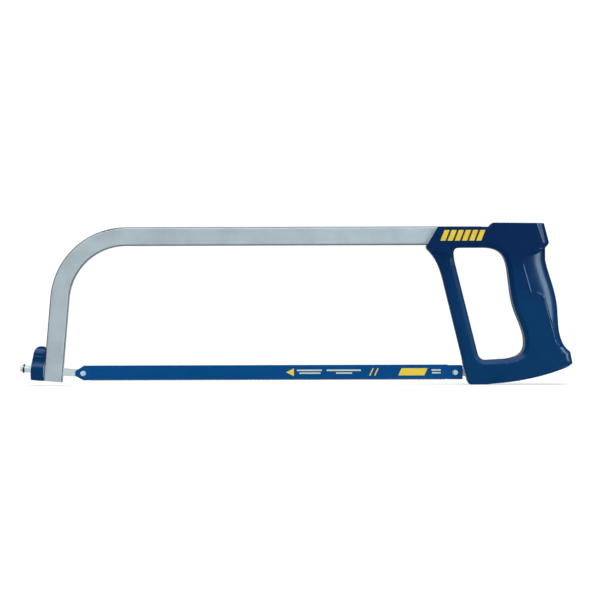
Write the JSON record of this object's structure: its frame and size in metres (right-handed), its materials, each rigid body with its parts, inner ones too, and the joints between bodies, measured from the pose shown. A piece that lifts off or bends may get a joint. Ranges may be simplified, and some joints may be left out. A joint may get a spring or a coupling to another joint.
{
  "type": "hacksaw",
  "caption": "Adjustable hand hacksaw: bent steel tube bow with a D-shaped cast handle, a toothed metal-cutting blade on pins and a lever nut that tensions it.",
  "frame": {"origin": "under the middle of the saw's length and width, at the level of the handle's foot", "axes": "+X from the front tensioner towards the handle, +Y across the saw, +Z from the blade up to the bow's top bar; the teeth point down"},
  "size_m": [0.4452, 0.026, 0.1302],
  "materials": {
    "plated_tube": "satin zinc plate",
    "handle_enamel": "gloss enamel",
    "badge_yellow": "printed film",
    "dark_steel": "oiled spring steel",
    "zinc_steel": "bright zinc plate",
    "bright_steel": "turned",
    "lever_plastic": "moulded, glossy",
    "blade_enamel": "gloss enamel"
  },
  "bodies": {
    "frame": {"frame_bow": "plated_tube", "handle": "handle_enamel", "arm_badge": "badge_yellow", "bow_pins": "dark_steel", "rear_holder": "zinc_steel", "holder_lock_pin": "dark_steel", "rear_blade_pin": "bright_steel", "thrust_washer": "bright_steel"},
    "lever_nut": {"tension_lever": "lever_plastic", "nut_insert": "bright_steel"},
    "front_holder": {"front_holder": "zinc_steel", "front_blade_pin": "bright_steel", "stud_clip": "dark_steel"},
    "blade": {"blade": "blade_enamel"}
  },
  "joints": [
    {"name": "tension_nut_turn", "type": "hinge", "parent": "frame", "child": "lever_nut", "pos_m": [-0.20815, 0, 0.01272], "axis": [-0.9963, 0, 0.0854], "range_deg": [0, 252.2]},
    {"name": "front_holder_slide", "type": "slide", "parent": "frame", "child": "front_holder", "axis": [0.9963, 0, -0.0854], "range_m": [0, 0.0007]},
    {"name": "blade_unhook", "type": "slide", "parent": "frame", "child": "blade", "axis": [0, -1, 0], "range_m": [0, 0.03]}
  ],
  "couplings": [
    {"joint": "tension_nut_turn", "follows": "front_holder_slide", "rad_per_m": 6283.2}
  ]
}
